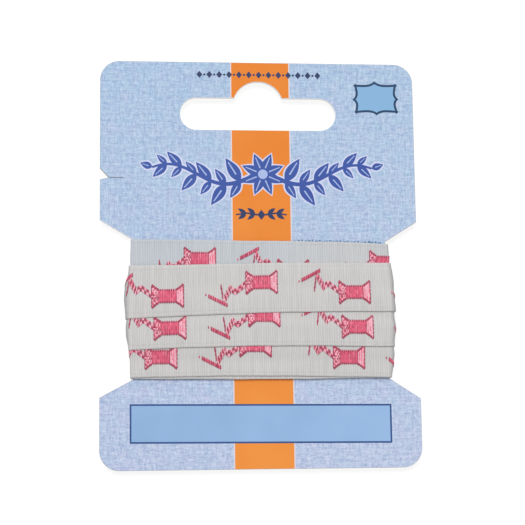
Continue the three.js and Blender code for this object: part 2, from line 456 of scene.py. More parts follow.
def stroke(points, start_width, end_width, grow=0):
    """A line through points, tapering from one width to another."""
    left, right = [], []
    for i, here in enumerate(points):
        ahead = Vector(points[min(i + 1, len(points) - 1)]) - Vector(points[max(i - 1, 0)])
        beside = Vector((-ahead.y, ahead.x)).normalized()
        half = (start_width + (end_width - start_width) * i / (len(points) - 1)) / 2 + grow
        left.append(tuple(Vector(here) + beside * half))
        right.append(tuple(Vector(here) - beside * half))
    return right + left[::-1]


def scalloped(corners, points, dip, steps=8, bend=1.3):
    """A label's outline: hollow curves from each corner to a small point in the middle of each side."""
    outline = []
    middle = sum((Vector(corner) for corner in corners), Vector((0, 0))) / 4
    stops = [stop for pair in zip(corners, points) for stop in pair]
    for i, stop in enumerate(stops):
        start = Vector(stop)
        end = Vector(stops[(i + 1) % len(stops)])
        inward = (middle - (start + end) / 2).normalized() * dip
        for step in range(steps):
            share = step / steps
            to_point = share**bend if i % 2 == 0 else (1 - share) ** bend
            outline.append(tuple(start.lerp(end, share) + inward * (4 * to_point * (1 - to_point))))
    return outline


print("shapes ready")

# %% Lay out the print
STRIPE = {"left": -5.46, "right": 6.35, "line": 0.26}
PANEL = {"left": -26.1, "right": 26.0, "bottom": -36.22, "top": -28.78, "line": 0.35, "tilt": 0.007}
LABEL_CORNERS = [(20.4, 31.35), (28.8, 31.45), (28.6, 37.0), (20.3, 36.9)]
LABEL_POINTS = [(24.65, 30.95), (28.95, 34.1), (24.25, 37.6), (19.95, 33.95)]
LABEL_DIP = 0.46
LABEL_LINE = 0.46
LABEL_KNOB = 0.9
GARLAND = {"x": 0.8, "y": 17.4, "start": 2.6, "reach": 22.5, "wave": 1.7, "swing": 0.92, "rise": 1.2}
LEAVES = {"pairs": 6, "first": 0.1, "apart": 0.15, "lean": 58, "length": 5.7, "width": 2.4, "short": 0.72}
BUD = {"lean": 20, "length": 2.6, "width": 1.5}
BLOSSOM = {"raised": 0.7, "petals": 8, "length": 4.6, "width": 2, "eye": 1}
HALO = 0.32
BORDER = {"left": -12, "right": 12.4, "y": 38.9, "count": 12, "width": 1.25, "height": 1.5, "dot": 0.24}
SPRIG = {"x": 0.4, "y": 9.7}
DASHES = {"x": 7, "y": 4.15, "count": 25, "pitch": 0.72, "fall": 0.018, "length": 0.3, "height": 0.3}
GOLDEN = 0.618


def stem_point(side, share):
    """The garland's stem swings down and up again on its way out from the blossom."""
    x = GARLAND["x"] + side * lerp(GARLAND["start"], GARLAND["reach"], share)
    swing = math.sin(2 * math.pi * share * GARLAND["swing"])
    return (x, GARLAND["y"] - GARLAND["wave"] * swing + GARLAND["rise"] * share)


def garland_leaves():
    """The foot, angle, length and width of every leaf: pairs along both stems, longer by turns."""
    leaves = []
    for side in (-1, 1):
        for i in range(LEAVES["pairs"]):
            foot = stem_point(side, LEAVES["first"] + LEAVES["apart"] * i)
            for above in (-1, 1):
                longer = above == (1 if i % 2 == 0 else -1)
                lean = above * (LEAVES["lean"] - 3 * i)
                size = (1 if longer else LEAVES["short"]) * (1 - 0.06 * i)
                angle = lean if side > 0 else 180 - lean
                leaves.append((foot, angle, LEAVES["length"] * size, LEAVES["width"] * size))
        angle = BUD["lean"] if side > 0 else 180 - BUD["lean"]
        leaves.append((stem_point(side, 1), angle, BUD["length"], BUD["width"]))
    blossom = (GARLAND["x"], GARLAND["y"] + BLOSSOM["raised"])
    for i in range(BLOSSOM["petals"]):
        angle = 360 / BLOSSOM["petals"] * (i + 0.5)
        leaves.append((blossom, angle, BLOSSOM["length"], BLOSSOM["width"]))
    return leaves


def garland(grow):
    """Leaves on two stems, a bud at each tip and a blossom in the middle."""
    shapes = []
    for side in (-1, 1):
        stem = [stem_point(side, i / 24) for i in range(25)]
        shapes.append(stroke(stem, 0.95, 0.45, grow))
    return shapes + [leaf(*part, grow) for part in garland_leaves()]


def garland_veins():
    """A pale line up the middle of every leaf and petal, and the blossom's eye."""
    shapes = []
    for foot, angle, length, width in garland_leaves():
        along = heading(angle) * length
        vein = [tuple(Vector(foot) + along * share) for share in (0.3, 0.55, 0.82)]
        shapes.append(stroke(vein, 0.14 * width, 0.09 * width))
    return shapes + [disc((GARLAND["x"], GARLAND["y"] + BLOSSOM["raised"]), BLOSSOM["eye"])]


def border_row():
    """A row of small lozenges and dots along the top of the card."""
    shapes = []
    pitch = (BORDER["right"] - BORDER["left"]) / BORDER["count"]
    for i in range(BORDER["count"] + 1):
        x = BORDER["left"] + pitch * i
        shapes.append(lozenge((x, BORDER["y"]), BORDER["width"], BORDER["height"]))
        if i < BORDER["count"]:
            shapes.append(disc((x + pitch / 2, BORDER["y"]), BORDER["dot"]))
    return shapes


def small_sprig():
    """Two pairs of leaves and a lozenge under the garland."""
    x, y = SPRIG["x"], SPRIG["y"]
    shapes = [lozenge((x, y), 1.7, 2.1)]
    for side in (-1, 1):
        shapes.append(stroke([(x + side * 0.8, y), (x + side * 3, y + 0.35), (x + side * 5.2, y)], 0.4, 0.3))
        for offset, angle in ((1.3, 38), (1.3, -38), (3.1, 34), (3.1, -34)):
            shapes.append(leaf((x + side * offset, y + 0.2), angle if side > 0 else 180 - angle, 2, 0.85))
    return shapes


def dash_row():
    """A fine broken line that shows along the ribbon's upper edge, right of the stripe."""
    shapes = []
    for i in range(DASHES["count"]):
        x = DASHES["x"] + DASHES["pitch"] * i
        y = DASHES["y"] - DASHES["fall"] * i
        length = DASHES["length"] + 0.35 * (i * GOLDEN % 1)
        height = DASHES["height"] * (1 + (i * 0.38 % 1))
        shapes.append(rectangle(x, y, x + length, y + height))
    return shapes


def print_layers():
    """Every printed shape with its ink. A later shape lies over an earlier one."""
    below, above = -CARD_HEIGHT, CARD_HEIGHT
    left, right, line = STRIPE["left"], STRIPE["right"], STRIPE["line"]
    layers = [("stripe_line", rectangle(left - line, below, right + line, above))]
    layers.append(("stripe", rectangle(left, below, right, above)))
    half = PANEL["line"] / 2
    for ink, grow in (("panel_line", half), ("panel", -half)):
        low = (PANEL["left"] - grow, PANEL["bottom"] - grow)
        corners = rectangle(*low, PANEL["right"] + grow, PANEL["top"] + grow)
        layers.append((ink, [(x, y - PANEL["tilt"] * x) for x, y in corners]))
    label = scalloped(LABEL_CORNERS, LABEL_POINTS, LABEL_DIP)
    layers.append(("line", moved_in(label, -LABEL_LINE / 2)))
    layers.append(("label", moved_in(label, LABEL_LINE / 2)))
    layers += [("line", lozenge(corner, LABEL_KNOB, LABEL_KNOB)) for corner in LABEL_CORNERS]
    layers += [("dash", shape) for shape in dash_row()]
    layers += [("halo", shape) for shape in garland(HALO)]
    layers += [("leaf", shape) for shape in garland(0)]
    layers += [("vein", shape) for shape in garland_veins()]
    layers += [("dark", shape) for shape in border_row() + small_sprig()]
    return layers


print(len(print_layers()), "printed shapes")

# %% [markdown]
# ## The board itself
#
# The face is flat, but it has to be divided along every printed line. A constrained triangulation does
# exactly that: it takes overlapping outlines, and says for each small triangle which outlines it lies
# in. The last outline in the list is the ink on top. The rim then goes round the cut edges with a slightly
# rounded arris, as a die leaves it, and the back repeats the face's triangles without the inks.

# %% Cut and print the board
ARRIS = 0.07
ARRIS_STEPS = 3
MERGE = 1e-5


def divided_face(layers):
    """The face's points, its triangles, and the finish of each triangle."""
    outlines = [moved_in(board_outline(), ARRIS), moved_in(slot_outline(), -ARRIS)]
    outlines += [shape for ink, shape in layers]
    corners, loops = [], []
    for outline in outlines:
        loops.append(list(range(len(corners), len(corners) + len(outline))))
        corners += [Vector(point) for point in outline]
    points, _, triangles, _, _, inside = delaunay_2d_cdt(corners, [], loops, 1, MERGE, True)
    kept, finishes = [], []
    for triangle, owners in zip(triangles, inside):
        if 0 in owners and 1 not in owners:
            top = max(owners)
            kept.append(tuple(triangle))
            finishes.append("linen" if top == 0 else layers[top - 2][0])
    return points, kept, finishes


def rim_profile():
    """How far out and how far down each ring of the rim lies, from the face to the back."""
    rings = []
    for i in range(1, ARRIS_STEPS + 1):
        angle = math.pi / 2 * i / ARRIS_STEPS
        rings.append((ARRIS * math.sin(angle), ARRIS * (1 - math.cos(angle))))
    thickness = CARD_FACE - CARD_BACK
    return rings + [(out, thickness - down) for out, down in rings[::-1]]


def outward(points, rim):
    """For each point on the rim, the direction away from the board that keeps the sides parallel."""
    normals = {}
    for start, end in rim:
        along = (points[end] - points[start]).normalized()
        for corner in (start, end):
            normals.setdefault(corner, []).append(Vector((along.y, -along.x)))
    return {corner: (a + b) / (1 + a.dot(b)) for corner, (a, b) in normals.items()}


def add_piece(name, points, faces, finishes, finish_of_face=None, edges=()):
    """A mesh object from points in millimetres."""
    mesh = bpy.data.meshes.new(name)
    mesh.from_pydata([Vector(point) * MM for point in points], edges, faces)
    for material in finishes:
        mesh.materials.append(material)
    if finish_of_face:
        mesh.polygons.foreach_set("material_index", finish_of_face)
    piece = bpy.data.objects.new(name, mesh)
    bpy.context.scene.collection.objects.link(piece)
    return piece


def add_numbers(mesh, name, kind, values):
    """A named value, or a vector, for every point of a mesh."""
    layer = mesh.attributes.new(name, kind, "POINT")
    field = "vector" if kind == "FLOAT_VECTOR" else "value"
    flat = [number for value in values for number in value] if field == "vector" else values
    layer.data.foreach_set(field, flat)


def edge_finish(point):
    """The slot and the upper left shoulder take the white edge, painted light there. The other edges take the
    grey, partly painted shade.
    """
    in_slot = abs(point.x) < SLOT["length"] and abs(point.y - SLOT["centre"]) < SLOT["height"] + 1
    on_shoulder = point.x < 0 and 0 < point.y < NICK["bottom"] - 1
    return "painted_light_edge" if in_slot or on_shoulder else "edge"


def printed_card():
    flat, triangles, finishes = divided_face(print_layers())
    directed = {(t[i], t[(i + 1) % 3]) for t in triangles for i in range(3)}
    rim = sorted((a, b) for a, b in directed if (b, a) not in directed)
    edges = [edge_finish(flat[a]) for a, b in rim]
    away = outward(flat, rim)
    used = sorted({corner for triangle in triangles for corner in triangle})
    points = [(flat[i].x, flat[i].y, CARD_FACE) for i in used]
    ring = {corner: number for number, corner in enumerate(used)}
    faces = [tuple(ring[corner] for corner in triangle) for triangle in triangles]
    inks = list(finishes)
    still = {corner: Vector((0, 0)) for corner in used}
    rings = [(away, out, down) for out, down in rim_profile()]
    for directions, out, down in rings + [(still, 0, CARD_FACE - CARD_BACK)]:
        last = ring
        ring = {}
        for corner, direction in directions.items():
            spot = flat[corner] + direction * out
            ring[corner] = len(points)
            points.append((spot.x, spot.y, CARD_FACE - down))
        faces += [(last[a], ring[a], ring[b], last[b]) for a, b in rim]
        inks += edges
    faces += [tuple(ring[corner] for corner in triangle[::-1]) for triangle in triangles]
    inks += ["back"] * len(triangles)
    names = list(BOARD_FINISHES)
    numbers = [names.index(ink) for ink in inks]
    card = add_piece("printed_card", points, faces, BOARD_FINISHES.values(), numbers)
    card.data.polygons.foreach_set("use_smooth", [ink in ("edge", "painted_light_edge") for ink in inks])
    print("board:", len(triangles), "triangles on the face,", len(rim), "points round its edges")
    return card


card = printed_card()
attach(card, "root")
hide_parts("card")

# %% [markdown]
# ## How the ribbon is wound
#
# One ribbon goes round the waist seven times: four turns down the card, then three back up, so that the
# last turns overlap the first like shingles. Cloth simulation could tighten a strip round the board, but
# a winding follows a plain rule: each turn lies on the turns below it. So the height of a turn above the
# board is one thickness for itself, and one for each turn under it, and beyond the edge of a lower turn
# it comes down softly. The same rule shaped the solid that this strip replaces.

# %% The rule of the winding
Turn = namedtuple("Turn", ("left", "middle", "right", "fan", "reel"))
TURNS = [
    Turn(left=-0.6, middle=-0.7, right=-1.3, fan=0, reel=-12.2),
    Turn(left=-6.6, middle=-6.8, right=-7.2, fan=0, reel=4),
    Turn(left=-12.9, middle=-13, right=-13.2, fan=0, reel=-7),
    Turn(left=-18.4, middle=-18.68, right=-18.45, fan=0, reel=2),
    Turn(left=-18.2, middle=-18.05, right=-18.5, fan=0, reel=-1.25),
    Turn(left=-12.6, middle=-12.1, right=-12.35, fan=0.03, reel=0.55),
    Turn(left=-6.2, middle=-5.45, right=-5.2, fan=0.07, reel=0.1),
]
RIBBON = {"width": 10, "layer": 0.34, "cloth": 0.27, "gap": 0.3, "drape": 2, "back_layers": 3}
FIRST_END = {"x": 15, "height": -1.5}
LAST_END = {"x": -14, "height": -2.6}
HALF_BOARD = (CARD_FACE - CARD_BACK) / 2
MIDDLE_Z = (CARD_FACE + CARD_BACK) / 2
LAST_TURN = len(TURNS) - 1


def smooth(share):
    """A soft step from 0 to 1."""
    share = min(1, max(0, share))
    return share * share * (3 - 2 * share)


def band(face, k, x):
    """The centre height and half width of run k of a face at x. Back run k + 1 follows turn k."""
    across = (x + HALF_WAIST) / (2 * HALF_WAIST)
    half = RIBBON["width"] / 2
    if face == "back" and k > LAST_TURN:
        spread = half
    else:
        spread = half * (1 + TURNS[k].fan * (1 - across) ** 3)
    if face != "back":
        turn = TURNS[k]
        bow = turn.middle - (turn.left + turn.right) / 2
        return lerp(turn.left, turn.right, across) + bow * 4 * across * (1 - across), spread
    start, start_height = HALF_WAIST, TURNS[k - 1].right
    if k == 0:
        start, start_height = FIRST_END["x"], FIRST_END["height"]
    end, end_height = LAST_END["x"], LAST_END["height"]
    if k <= LAST_TURN:
        end, end_height = -HALF_WAIST, TURNS[k].left
    return lerp(start_height, end_height, (x - start) / (end - start)), spread


def cover(face, k, x, y):
    """1 where run k lies over the point, falling to 0 over the drape beyond its edge."""
    height, half = band(face, k, x)
    share = smooth(1 - (abs(y - height) - half) / RIBBON["drape"])
    if face == "back" and k == 0:
        share *= smooth(1 - (x - FIRST_END["x"]) / RIBBON["drape"])
    if face == "back" and k > LAST_TURN:
        share *= smooth(1 - (LAST_END["x"] - x) / RIBBON["drape"])
    return share


def pile(face, k, x, y, pressed):
    """The height of run k's outer side above the clearance, and how far the pile is squeezed there."""
    runs = len(TURNS) + 1 if face == "back" else len(TURNS)
    below = sum(cover(face, other, x, y) for other in range(k))
    above = sum(cover(face, other, x, y) for other in range(k + 1, runs))
    squeeze = lerp(1, min(1, RIBBON["back_layers"] / (below + 1 + above)), pressed)
    return RIBBON["layer"] * (1 + below) * squeeze, squeeze


print("winding of", len(TURNS), "turns")

# %% Places along the ribbon
Place = namedtuple("Place", ("face", "k", "x", "corner", "normal", "pressed"))
STEP = {"front": 0.6, "back": 0.9, "corner": 7}


def flat_places(face, k, start, end, ends):
    """Places along a flat run. ends says whether the first and the last place are kept."""
    steps = round(abs(end - start) / STEP[face])
    up = 1 if face == "front" else -1
    places = []
    for i in range(0 if ends[0] else 1, steps + 1 if ends[1] else steps):
        x = lerp(start, end, i / steps)
        places.append(Place(face, k, x, (x, up * HALF_BOARD), (0, up), (1 - up) / 2))
    return places


def fold_places(k, side):
    """Places over one edge of the board, round its two arrises, in the order of winding."""
    places = []
    for upper in (1, 0):
        for i in range(STEP["corner"] + 1):
            angle = math.pi / 2 * (upper - i / STEP["corner"])
            corner = (side * HALF_WAIST, HALF_BOARD if upper else -HALF_BOARD)
            normal = (side * math.cos(angle), math.sin(angle))
            places.append(Place("fold", k, corner[0], corner, normal, 0.5 - angle / math.pi))
    return places if side > 0 else places[::-1]


def route():
    """Every place from the first cut end to the last."""
    places = flat_places("back", 0, FIRST_END["x"], -HALF_WAIST, (True, False))
    for k in range(len(TURNS)):
        last = k == LAST_TURN
        places += fold_places(k, -1)
        places += flat_places("front", k, -HALF_WAIST, HALF_WAIST, (False, False))
        places += fold_places(k, 1)
        end = LAST_END["x"] if last else -HALF_WAIST
        places += flat_places("back", k + 1, HALF_WAIST, end, (False, last))
    return places


ROUTE = route()
print(len(ROUTE), "places along the ribbon")

# %% [markdown]
# ## The strip of cloth
#
# At every place along the way, the strip's section is a flat lens: an outer row of points, an inner row,
# and thin round selvages where they meet. A strip could be swept along a curve, but its section has to sink
# wherever a layer below it ends, so every section is worked out on its own. The bands wander a little and
# their free edges lift by less than a tenth of a millimetre, because no hand winds a ribbon perfectly flat.
# Over the board's two edges the pull differs with the height, so a short table for each side gives the slack.
# A UV map keeps how far along the ribbon, and how far from its middle, each point lies. The weave and the
# woven reels are laid out in it.

# %% Weave the strip
ACROSS = 20
SELVAGE_ROUND = 0.16
WANDER = {"height": 0.07, "width": 0.035, "lift": 0.04}
ROWS = [1.5 * t - 0.5 * t**3 for t in (2 * i / ACROSS - 1 for i in range(ACROSS + 1))]
LIFT_FROM = 0.86
SLACK_LEFT = {5: 0.5, 0.5: 0.68, -1.5: 0.6, -6: 1.22, -11: 0.97, -14.5: 0.9, -17.5: 0.56, -24: 0.5}
SLACK_RIGHT = {5: 0.4, 3: 1, 0.5: 1.13, -1.5: 1, -4.5: 1.2, -7: 1.1, -10: 1.25, -14: 1.12}
SLACK_RIGHT |= {-16.5: 0.95, -20: 1.2, -24: 0.7}


def slack_at(place, y):
    """The share of the pile's height that the pull over the board's edge leaves at a height."""
    table = list((SLACK_LEFT if place.normal[0] < 0 else SLACK_RIGHT).items())
    share = table[-1][1]
    for (high, first), (low, second) in zip(table, table[1:]):
        if low <= y <= high:
            share = lerp(first, second, smooth((high - y) / (high - low)))
    return lerp(1, share, abs(place.normal[0]))


def wander(run):
    """A slow uneven drift along the ribbon, from about -1 to 1."""
    return 0.6 * math.sin(run / 6.1) + 0.3 * math.sin(run / 2.3 + 1.1) + 0.2 * math.sin(run / 1.1 + 0.4)


def section(place, run):
    """The outer and the inner row of points at a place."""
    height, half = band(place.face, place.k, place.x)
    height += WANDER["height"] * wander(run)
    half += WANDER["width"] * wander(run + 40)
    outer, inner = [], []
    for row in ROWS:
        y = height + half * row
        top, squeeze = pile(place.face, place.k, place.x, y, place.pressed)
        thick = RIBBON["cloth"] * squeeze
        edge = max(0, 1 - (1 - abs(row)) * half / SELVAGE_ROUND)
        lens = thick / 2 * math.sqrt(max(0, 1 - edge**2))
        loose = 0.5 + 0.5 * wander(run * 0.7 + 90 * row)
        at_edge = smooth((abs(row) - LIFT_FROM) / (1 - LIFT_FROM))
        lift = WANDER["lift"] * loose * at_edge * (1 - place.pressed)
        middle = RIBBON["gap"] + top - thick / 2 + lift
        slack = slack_at(place, y)
        for side, out in ((outer, middle + lens), (inner, middle - lens)):
            x = place.corner[0] + place.normal[0] * out * slack
            z = place.corner[1] + place.normal[1] * out * slack + MIDDLE_Z
            side.append(Vector((x, y, z)))
    return outer, inner


def weave_strip():
    """The outer rows, the inner rows, the distance along the ribbon and the half width at each place."""
    outers, inners, distance, halves = [], [], [], []
    run = 0
    for i, place in enumerate(ROUTE):
        if i:
            before = ROUTE[i - 1]
            turn = math.dist(place.normal, before.normal)
            run += math.dist(place.corner, before.corner) + turn
        outer, inner = section(place, run)
        step = (outer[ACROSS // 2] - outers[-1][ACROSS // 2]).length if outers else 0
        distance.append(distance[-1] + step if distance else 0)
        outers.append(outer)
        inners.append(inner)
        halves.append((outer[-1].y - outer[0].y) / 2)
    return outers, inners, distance, halves


OUTER, INNER, DISTANCE, HALVES = weave_strip()
RIBBON_LENGTH = DISTANCE[-1]
LOWEST = min(point.z for row in OUTER for point in row)
print(f"ribbon {RIBBON_LENGTH:.0f} mm long, its lowest point at {LOWEST:.3f} mm")

# %% [markdown]
# ## The ribbon's cloth
#
# The ribbon is a fine ribbed cotton: its wefts run straight across, about two to the millimetre, and much
# finer warps run along it. A firm selvage line lies close inside each edge. The first turn is cooler in tone
# than the rest, and painted shade greys the folds over the board's edges where they turn sideways. Ribs this
# fine are too many to model, so they are relief in the material, drawn in the ribbon's own coordinates.

# %% The cotton's finish
RIB_PITCH = 0.46
WARP_PITCH = 0.19
SELVAGE_LINE = 4.32
WARM_FROM = (40, 130)
FOLD_SHADE = {"from": 0.3, "share": 0.5}


def cotton_cloth():
    finish = Finish("cotton_ribbon", {"Specular IOR Level": 0.2, "Sheen Weight": 0.15})
    along_across = finish.node("ShaderNodeUVMap", {"uv_map": "along_across"})
    along = finish.node("ShaderNodeSeparateXYZ", inputs={0: along_across})
    across = along.part("Y")
    fold = finish.node("ShaderNodeAttribute", {"attribute_name": "fold"}, output="Fac")
    uneven = finish.noise(along * 0.9, across * 0.25, 1)
    ribs = ((along + uneven * 0.5) * (2 * math.pi / RIB_PITCH)).sine() * 0.5 + 0.5
    warps = (across * (2 * math.pi / WARP_PITCH)).sine() * 0.5 + 0.5
    streak = finish.noise(along * (1 / RIB_PITCH), across * 0.14, 4, detail=3)
    cloud = finish.noise(along * 0.11, across * 0.2, 9)
    line = 1 - (abs(abs(across) - SELVAGE_LINE)).between(0.05, 0.22)
    tone = streak.between(0.2, 0.8) * 0.36 + ribs * 0.38 + cloud * 0.26 - line * 0.14
    warm = finish.blend(tone, srgb(189, 187, 187), srgb(219, 217, 215))
    cool = finish.blend(tone, srgb(179, 186, 193), srgb(208, 213, 219))
    clean = finish.blend(along.between(*WARM_FROM), cool, warm)
    # Painted shade: the folds over the board's edges turn darker grey as they face sideways.
    painted_fold_shade = fold.between(FOLD_SHADE["from"], 1) * FOLD_SHADE["share"]
    finish.feed({"Base Color": finish.blend(painted_fold_shade, clean, srgb(104, 104, 110))})
    finish.feed({"Roughness": ribs * 0.1 + 0.78})
    finish.relief(ribs * 0.6 + warps * 0.25 + streak * 0.3 - line * 0.3, 0.04)
    return finish.material


COTTON = cotton_cloth()
print("cotton finish ready")


# %% Make the strip a mesh
def wound_ribbon():
    around = 2 * ACROSS
    points, uvs, faces = [], [], []
    for outer, inner, distance, half in zip(OUTER, INNER, DISTANCE, HALVES):
        points += outer + inner[-2:0:-1]
        rows = ROWS + ROWS[-2:0:-1]
        uvs += [(distance, row * half) for row in rows]
    for i in range(len(ROUTE) - 1):
        here, there = i * around, (i + 1) * around
        for j in range(around):
            beside = (j + 1) % around
            faces.append((here + j, there + j, there + beside, here + beside))
    last = (len(ROUTE) - 1) * around
    for j in range(ACROSS):
        mirror = [(around - j) % around, around - j - 1]
        faces.append((j, j + 1, mirror[1], mirror[0]) if j else (0, 1, mirror[1]))
        if j == ACROSS - 1:
            faces[-1] = (j, j + 1, mirror[0])
        faces.append(tuple(last + corner for corner in faces[-1][::-1]))
    ribbon = add_piece("wound_ribbon", points, faces, [COTTON])
    folds = [abs(place.normal[0]) for place in ROUTE for _ in range(around)]
    add_numbers(ribbon.data, "fold", "FLOAT", folds)
    layer = ribbon.data.uv_layers.new(name="along_across")
    for loop in ribbon.data.loops:
        layer.data[loop.index].uv = uvs[loop.vertex_index]
    ribbon.data.polygons.foreach_set("use_smooth", [True] * len(faces))
    print("ribbon mesh:", len(points), "points,", len(faces), "faces")
    return ribbon


ribbon = wound_ribbon()
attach(ribbon, "root")
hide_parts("ribbon")

# %% [markdown]
# ## The woven reels
#
# Small thread reels are woven into the ribbon in pink: a wound body between two flanges, a wavy thread and
# a needle. Every second one is turned over. On the loom each is a group of floats, short lengths of pink
# weft that lie on top of the cloth. They all run straight across the ribbon, so a slanting line is a
# staircase of them, and the thick thread is two staircases, one dark where the other is pale. Painting the
# reels would leave them flat, so each float is cut into overlapping lengths, and each length is a real
# little spindle. The chart below is drawn in millimetres, and Geometry Nodes lays one spindle on
# each mark.

# %% Chart one reel
REEL = {"pitch": 18.85, "lift": 1.1, "body": 1.75, "rim": 3.1, "waist": 1.34, "horn": 2.35}
COLUMN = 0.225
TOOTH = {"height": 0.4, "inset": 0.12}
STIPPLE = {"height": 0.34, "apart": 1.05}
RIM_DASH = {"height": 0.64, "count": 6, "beyond": 0.06}
RAISED = {"fill": 0.035, "side": 0.055, "mark": 0.08, "thread": 0.05, "tail": 0.03}
THREAD_HEIGHTS = (1.3, 1.9)
NEEDLE_HEIGHTS = (0.4, 0.82)
NEEDLE_TIP = [(-11.35, -1.1), (-11.1, -1.2)]
NEEDLE = [(-10.75, -1.4), (-6.9, -3.4)]
THREAD = [(-1.9, 1.8), (-3.3, 0.8), (-5.35, -0.75), (-6.25, 0), (-7.3, -1.8), (-7.7, -2.7)]
TAIL = [(-8.15, 0.95, -0.2), (-8.0, 0.3, -1.2), (-7.88, -0.6, -2.2)]
FLOAT_LENGTH = 0.9
TONE = {"dark": 0, "wine": 0.32, "deep": 0.5, "blush": 0.8, "pale": 1}
TONE_SPREAD = 0.2
SEED = 7
Float = namedtuple("Float", ("u", "low", "high", "tone", "raised"))


def float_round(u, v, height, tone, raised):
    """A float of a given height with its middle at a spot."""
    return Float(u, v - height / 2, v + height / 2, tone, raised)


def columns(start, end):
    """Evenly spaced places for floats, from one place along the ribbon to another."""
    count = max(1, round(abs(end - start) / COLUMN))
    return [lerp(start, end, (i + 0.5) / count) for i in range(count)]


def staircase(points, height, tones):
    """Floats that step along a line through points, in tones taken by turns."""
    floats = []
    for start, end in zip(points, points[1:]):
        for u in columns(start[0], end[0]):
            v = lerp(start[1], end[1], (u - start[0]) / (end[0] - start[0]))
            tone = tones[len(floats) % len(tones)]
            floats.append(float_round(u, v, height, tone, RAISED["thread"]))
    return floats


def rope(points, height, tones):
    """A thick thread: two staircases side by side, one dark where the other is pale, as if twisted."""
    half = len(tones) // 2
    lower = [(u, v - height / 4) for u, v in points]
    upper = [(u, v + height / 4) for u, v in points]
    floats = staircase(lower, height / 2, tones)
    return floats + staircase(upper, height / 2, tones[half:] + tones[:half])


def reel_half(u):
    """Half the reel's height: even along its body, rising in a hollow curve to the tips of its flanges."""
    outward = max(0, abs(u) - REEL["body"]) / (REEL["rim"] - REEL["body"])
    return lerp(REEL["waist"], REEL["horn"], outward**1.4)


def reel_fill():
    """Deep pink on the body and pale pink on the flanges, with a dark float at the ends of the columns."""
    floats = []
    for i, u in enumerate(columns(-REEL["rim"], REEL["rim"])):
        half = reel_half(u)
        on_body = abs(u) < REEL["body"]
        tones = ("deep", "wine") if on_body else ("pale", "blush")
        floats.append(Float(u, -half, half, tones[i % 2], RAISED["fill"]))
        if i % 2 or not on_body:
            end = half - (TOOTH["inset"] if on_body else 0)
            floats += [float_round(u, v, TOOTH["height"], "dark", RAISED["mark"]) for v in (-end, end)]
    return floats


def reel_stipple():
    """Dark dots on the flange that the thread comes off, where its ends show between the pale floats."""
    floats = []
    for i, u in enumerate(columns(-REEL["rim"], -REEL["body"])):
        half = reel_half(u)
        count = round(half * 2 / STIPPLE["apart"])
        for j in range(count):
            v = lerp(-half, half, (j + 0.3 + 0.5 * (i % 2)) / count)
            tone = "wine" if (i + j) % 2 else "dark"
            floats.append(float_round(u, v, STIPPLE["height"], tone, RAISED["mark"]))
    return floats


def reel_lines():
    """A line on each side of the body, and a broken line down the outside of each flange."""
    floats = []
    for side in (-1, 1):
        floats.append(Float(side * REEL["body"], -REEL["waist"], REEL["waist"], "dark", RAISED["side"]))
        u = side * (REEL["rim"] + RIM_DASH["beyond"])
        for i in range(RIM_DASH["count"]):
            v = lerp(-REEL["horn"], REEL["horn"], (i + 0.5) / RIM_DASH["count"])
            floats.append(float_round(u, v, RIM_DASH["height"], "dark", RAISED["mark"]))
    return floats


def reel_chart():
    """The floats of one reel with its thread and needle, about the middle of the ribbon."""
    lift = REEL["lift"]
    reel = reel_fill() + reel_stipple() + reel_lines()
    floats = [f._replace(low=f.low + lift, high=f.high + lift) for f in reel]
    floats += rope(THREAD[:4], THREAD_HEIGHTS[0], ("dark", "dark", "pale", "blush"))
    floats += rope(THREAD[3:], THREAD_HEIGHTS[1], ("dark", "blush"))
    floats += staircase(NEEDLE_TIP, NEEDLE_HEIGHTS[0], ("wine",))
    floats += staircase(NEEDLE, NEEDLE_HEIGHTS[1], ("dark", "wine", "dark", "deep"))
    return floats + [Float(u, low, high, "dark", RAISED["tail"]) for u, high, low in TAIL]


CHART = reel_chart()
print(len(CHART), "floats in one reel")

# %% Find where each float lies
BURIED = 1
SPINDLE = {"Width": 0.29, "Height": 0.16, "Overlap": 0.52}
TIP = 0.1
CUT_SHIFT = 0.6
END_CLEAR = 0.3
Mark = namedtuple("Mark", ("point", "run", "out", "tone"))


def surface(distance, across):
    """The place number, the point, the way along and the way out at a spot on the ribbon's face."""
    i = min(max(bisect.bisect_right(DISTANCE, distance) - 1, 0), len(DISTANCE) - 2)
    share = (distance - DISTANCE[i]) / (DISTANCE[i + 1] - DISTANCE[i])
    row = across / HALVES[i]
    j = min(max(bisect.bisect_right(ROWS, row) - 1, 0), ACROSS - 1)
    part = (row - ROWS[j]) / (ROWS[j + 1] - ROWS[j])
    near = OUTER[i][j].lerp(OUTER[i][j + 1], part)
    far = OUTER[i + 1][j].lerp(OUTER[i + 1][j + 1], part)
    along = (far - near).normalized()
    width = (OUTER[i][j + 1] - OUTER[i][j]).normalized()
    return i, near.lerp(far, share), along, width


def is_buried(place, point):
    """True well under a later turn, where nothing shows."""
    runs = len(TURNS) + 1 if place.face == "back" else len(TURNS)
    for later in range(place.k + 1, runs):
        if place.face == "back" and later > LAST_TURN and point.x < LAST_END["x"] + BURIED:
            continue
        height, half = band(place.face, later, place.x)
        if abs(point.y - height) < half - BURIED:
            return True
    return False


def reel_places():
    """How far along each reel lies, and whether it is turned over."""
    starts = [i for i, place in enumerate(ROUTE) if place.face == "fold" and ROUTE[i - 1].face == "back"]
    starts = [0] + starts[1:] + [len(ROUTE) - 1]
    reels = []
    for k, turn in enumerate(TURNS):
        low, high = DISTANCE[starts[k]], DISTANCE[starts[k + 1]]
        front = [i for i, place in enumerate(ROUTE) if place.face == "front" and place.k == k]
        nearest = min(front, key=lambda i: abs(ROUTE[i].x - turn.reel))
        home = DISTANCE[nearest] + turn.reel - ROUTE[nearest].x
        first = math.ceil((low - home) / REEL["pitch"])
        while home + first * REEL["pitch"] < high:
            reels.append((home + first * REEL["pitch"], -1 if first % 2 else 1))
            first += 1
    return reels


